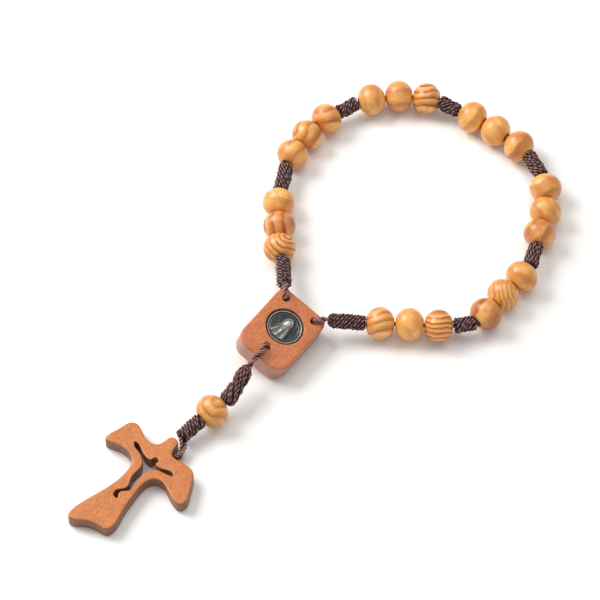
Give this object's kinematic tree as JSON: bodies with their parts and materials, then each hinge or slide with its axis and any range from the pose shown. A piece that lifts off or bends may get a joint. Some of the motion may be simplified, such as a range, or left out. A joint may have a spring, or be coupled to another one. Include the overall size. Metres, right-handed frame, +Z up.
{
  "type": "rosary",
  "caption": "Devotional rosary: a loop of small turned wooden beads in knotted groups, a drilled wooden block with a metal medal, and a pendant with a bead and a flat cut-out cross.",
  "frame": {"origin": "on the surface that the rosary lies on, below the middle of its outline as laid out", "axes": "+Z up from that surface; +Y from the pendant's side towards the far side of the loop; +X to the right of it"},
  "size_m": [0.1187, 0.1307, 0.011],
  "materials": {
    "bead_wood": "varnished, glossy",
    "block_wood": "satin",
    "cross_wood": "satin",
    "twine": "twisted waxed twine",
    "medal_metal": "dark antique silver"
  },
  "bodies": {
    "block": {"centre_block": "block_wood", "medal": "medal_metal", "stopper_knot": "twine", "left_back_cord": "twine", "right_back_cord": "twine", "pendant_back_cord": "twine", "left_loop_eye": "twine", "right_loop_eye": "twine", "pendant_eye": "twine"},
    "first_knot": {"left_loop_neck": "twine", "loop_knot_1": "twine"},
    "group_1": {"loop_cord_1": "twine", "loop_knot_2": "twine"},
    "loop_bead_01": {"loop_bead_01": "bead_wood"},
    "loop_bead_02": {"loop_bead_02": "bead_wood"},
    "loop_bead_03": {"loop_bead_03": "bead_wood"},
    "group_2": {"loop_cord_2": "twine", "loop_knot_3": "twine"},
    "loop_bead_04": {"loop_bead_04": "bead_wood"},
    "loop_bead_05": {"loop_bead_05": "bead_wood"},
    "loop_bead_06": {"loop_bead_06": "bead_wood"},
    "group_3": {"loop_cord_3": "twine", "loop_knot_4": "twine"},
    "loop_bead_07": {"loop_bead_07": "bead_wood"},
    "loop_bead_08": {"loop_bead_08": "bead_wood"},
    "loop_bead_09": {"loop_bead_09": "bead_wood"},
    "group_4": {"loop_cord_4": "twine", "loop_knot_5": "twine"},
    "loop_bead_10": {"loop_bead_10": "bead_wood"},
    "loop_bead_11": {"loop_bead_11": "bead_wood"},
    "loop_bead_12": {"loop_bead_12": "bead_wood"},
    "group_5": {"loop_cord_5": "twine", "loop_knot_6": "twine"},
    "loop_bead_13": {"loop_bead_13": "bead_wood"},
    "loop_bead_14": {"loop_bead_14": "bead_wood"},
    "loop_bead_15": {"loop_bead_15": "bead_wood"},
    "group_6": {"loop_cord_6": "twine", "loop_knot_7": "twine"},
    "loop_bead_16": {"loop_bead_16": "bead_wood"},
    "loop_bead_17": {"loop_bead_17": "bead_wood"},
    "loop_bead_18": {"loop_bead_18": "bead_wood"},
    "group_7": {"loop_cord_7": "twine", "loop_knot_8": "twine"},
    "loop_bead_19": {"loop_bead_19": "bead_wood"},
    "loop_bead_20": {"loop_bead_20": "bead_wood"},
    "loop_bead_21": {"loop_bead_21": "bead_wood"},
    "pendant_neck": {"pendant_neck": "twine"},
    "upper_knot": {"pendant_upper_knot": "twine"},
    "pendant": {"pendant_cord": "twine", "pendant_lower_knot": "twine", "cross_eye": "twine"},
    "pendant_bead": {"pendant_bead": "bead_wood"},
    "cross": {"cross": "cross_wood"}
  },
  "joints": [
    {"name": "loop_lift", "type": "hinge", "parent": "block", "child": "first_knot", "pos_m": [-0.00944, -0.00231, 0.01045], "axis": [0.7787, -0.5319, -0.3329], "range_deg": [0, 70]},
    {"name": "loop_bend_1", "type": "hinge", "parent": "first_knot", "child": "group_1", "pos_m": [-0.0103, 0.0098, 0.0049], "axis": [0, 0, 1], "range_deg": [-1.81, 1.81]},
    {"name": "loop_bead_01_spin", "type": "hinge", "parent": "group_1", "child": "loop_bead_01", "pos_m": [-0.0111, 0.0135, 0.0044], "axis": [-0.0835, 0.993, -0.0835], "continuous": true},
    {"name": "loop_bead_02_spin", "type": "hinge", "parent": "group_1", "child": "loop_bead_02", "pos_m": [-0.0112, 0.0205, 0.004], "axis": [-0.0213, 0.9994, -0.0284], "continuous": true},
    {"name": "loop_bead_03_spin", "type": "hinge", "parent": "group_1", "child": "loop_bead_03", "pos_m": [-0.0114, 0.0276, 0.004], "axis": [0.0092, 1, 0], "continuous": true},
    {"name": "loop_bend_2", "type": "hinge", "parent": "group_1", "child": "group_2", "pos_m": [-0.0095, 0.0391, 0.004], "axis": [0, 0, 1], "range_deg": [-2.49, 2.49]},
    {"name": "loop_bead_04_spin", "type": "hinge", "parent": "group_2", "child": "loop_bead_04", "pos_m": [-0.0079, 0.0426, 0.004], "axis": [0.4763, 0.8793, 0], "continuous": true},
    {"name": "loop_bead_05_spin", "type": "hinge", "parent": "group_2", "child": "loop_bead_05", "pos_m": [-0.0043, 0.0487, 0.004], "axis": [0.6011, 0.7992, 0], "continuous": true},
    {"name": "loop_bead_06_spin", "type": "hinge", "parent": "group_2", "child": "loop_bead_06", "pos_m": [0.0006, 0.0539, 0.004], "axis": [0.7341, 0.679, 0], "continuous": true},
    {"name": "loop_bend_3", "type": "hinge", "parent": "group_2", "child": "group_3", "pos_m": [0.0084, 0.0592, 0.004], "axis": [0, 0, 1], "range_deg": [-4.29, 4.29]},
    {"name": "loop_bead_07_spin", "type": "hinge", "parent": "group_3", "child": "loop_bead_07", "pos_m": [0.0121, 0.0601, 0.004], "axis": [0.9813, 0.1926, 0], "continuous": true},
    {"name": "loop_bead_08_spin", "type": "hinge", "parent": "group_3", "child": "loop_bead_08", "pos_m": [0.0191, 0.0613, 0.004], "axis": [0.9996, 0.0286, 0], "continuous": true},
    {"name": "loop_bead_09_spin", "type": "hinge", "parent": "group_3", "child": "loop_bead_09", "pos_m": [0.0261, 0.0605, 0.004], "axis": [0.9843, -0.1764, 0], "continuous": true},
    {"name": "loop_bend_4", "type": "hinge", "parent": "group_3", "child": "group_4", "pos_m": [0.0343, 0.0564, 0.004], "axis": [0, 0, 1], "range_deg": [-8, 8]},
    {"name": "loop_bead_10_spin", "type": "hinge", "parent": "group_4", "child": "loop_bead_10", "pos_m": [0.0376, 0.0545, 0.004], "axis": [0.8192, -0.5735, 0], "continuous": true},
    {"name": "loop_bead_11_spin", "type": "hinge", "parent": "group_4", "child": "loop_bead_11", "pos_m": [0.0433, 0.0501, 0.004], "axis": [0.7749, -0.6321, 0], "continuous": true},
    {"name": "loop_bead_12_spin", "type": "hinge", "parent": "group_4", "child": "loop_bead_12", "pos_m": [0.049, 0.0452, 0.004], "axis": [0.7159, -0.6982, 0], "continuous": true},
    {"name": "loop_bend_5", "type": "hinge", "parent": "group_4", "child": "group_5", "pos_m": [0.0544, 0.0357, 0.004], "axis": [0, 0, 1], "range_deg": [-2.4, 2.4]},
    {"name": "loop_bead_13_spin", "type": "hinge", "parent": "group_5", "child": "loop_bead_13", "pos_m": [0.05505, 0.032, 0.004], "axis": [0.0275, -0.9996, 0], "continuous": true},
    {"name": "loop_bead_14_spin", "type": "hinge", "parent": "group_5", "child": "loop_bead_14", "pos_m": [0.0547, 0.0248, 0.004], "axis": [-0.1518, -0.9884, 0], "continuous": true},
    {"name": "loop_bead_15_spin", "type": "hinge", "parent": "group_5", "child": "loop_bead_15", "pos_m": [0.0529, 0.018, 0.004], "axis": [-0.249, -0.9685, 0], "continuous": true},
    {"name": "loop_bend_6", "type": "hinge", "parent": "group_5", "child": "group_6", "pos_m": [0.0501, 0.0082, 0.004], "axis": [0, 0, 1], "range_deg": [-0.7, 0.7]},
    {"name": "loop_bead_16_spin", "type": "hinge", "parent": "group_6", "child": "loop_bead_16", "pos_m": [0.0479, 0.0051, 0.004], "axis": [-0.6347, -0.7727, 0], "continuous": true},
    {"name": "loop_bead_17_spin", "type": "hinge", "parent": "group_6", "child": "loop_bead_17", "pos_m": [0.0432, -0.0002, 0.004], "axis": [-0.6409, -0.7676, 0], "continuous": true},
    {"name": "loop_bead_18_spin", "type": "hinge", "parent": "group_6", "child": "loop_bead_18", "pos_m": [0.0388, -0.0058, 0.004], "axis": [-0.6707, -0.7417, 0], "continuous": true},
    {"name": "loop_bend_7", "type": "hinge", "parent": "group_6", "child": "group_7", "pos_m": [0.0311, -0.0095, 0.004], "axis": [0, 0, 1], "range_deg": [-6.15, 6.15]},
    {"name": "loop_bead_19_spin", "type": "hinge", "parent": "group_7", "child": "loop_bead_19", "pos_m": [0.0273, -0.0093, 0.004], "axis": [-0.9985, 0.0555, 0], "continuous": true},
    {"name": "loop_bead_20_spin", "type": "hinge", "parent": "group_7", "child": "loop_bead_20", "pos_m": [0.0203, -0.0089, 0.004], "axis": [-0.9988, 0.0496, 0], "continuous": true},
    {"name": "loop_bead_21_spin", "type": "hinge", "parent": "group_7", "child": "loop_bead_21", "pos_m": [0.0132, -0.0086, 0.004], "axis": [-0.9995, 0.0183, 0.0275], "continuous": true},
    {"name": "pendant_lift", "type": "hinge", "parent": "block", "child": "pendant_neck", "pos_m": [-0.0158, -0.02058, 0.0089], "axis": [-0.7971, 0.6039, 0], "range_deg": [0, 80]},
    {"name": "pendant_swing", "type": "hinge", "parent": "pendant_neck", "child": "upper_knot", "pos_m": [-0.0183, -0.0225, 0.0065], "axis": [0, 0, 1], "range_deg": [-20, 10]},
    {"name": "pendant_bend", "type": "hinge", "parent": "upper_knot", "child": "pendant", "pos_m": [-0.0235, -0.0313, 0.0042], "axis": [0, 0, 1], "range_deg": [-2, 20]},
    {"name": "pendant_bead_spin", "type": "hinge", "parent": "pendant", "child": "pendant_bead", "pos_m": [-0.0269, -0.03355, 0.004], "axis": [-0.784, -0.6196, -0.0379], "continuous": true},
    {"name": "cross_swing", "type": "hinge", "parent": "pendant", "child": "cross", "pos_m": [-0.03781, -0.04388, 0.00185], "axis": [-0.7536, 0.6574, 0], "range_deg": [0, 40]}
  ],
  "couplings": [
    {"joint": "loop_bend_1", "follows": "loop_bend_4", "ratio": -0.2135},
    {"joint": "loop_bend_2", "follows": "loop_bend_4", "ratio": -0.2983},
    {"joint": "loop_bend_3", "follows": "loop_bend_4", "ratio": -0.524},
    {"joint": "loop_bend_5", "follows": "loop_bend_4", "ratio": -0.2877},
    {"joint": "loop_bend_6", "follows": "loop_bend_4", "ratio": 0.0744},
    {"joint": "loop_bend_7", "follows": "loop_bend_4", "ratio": -0.7559}
  ]
}
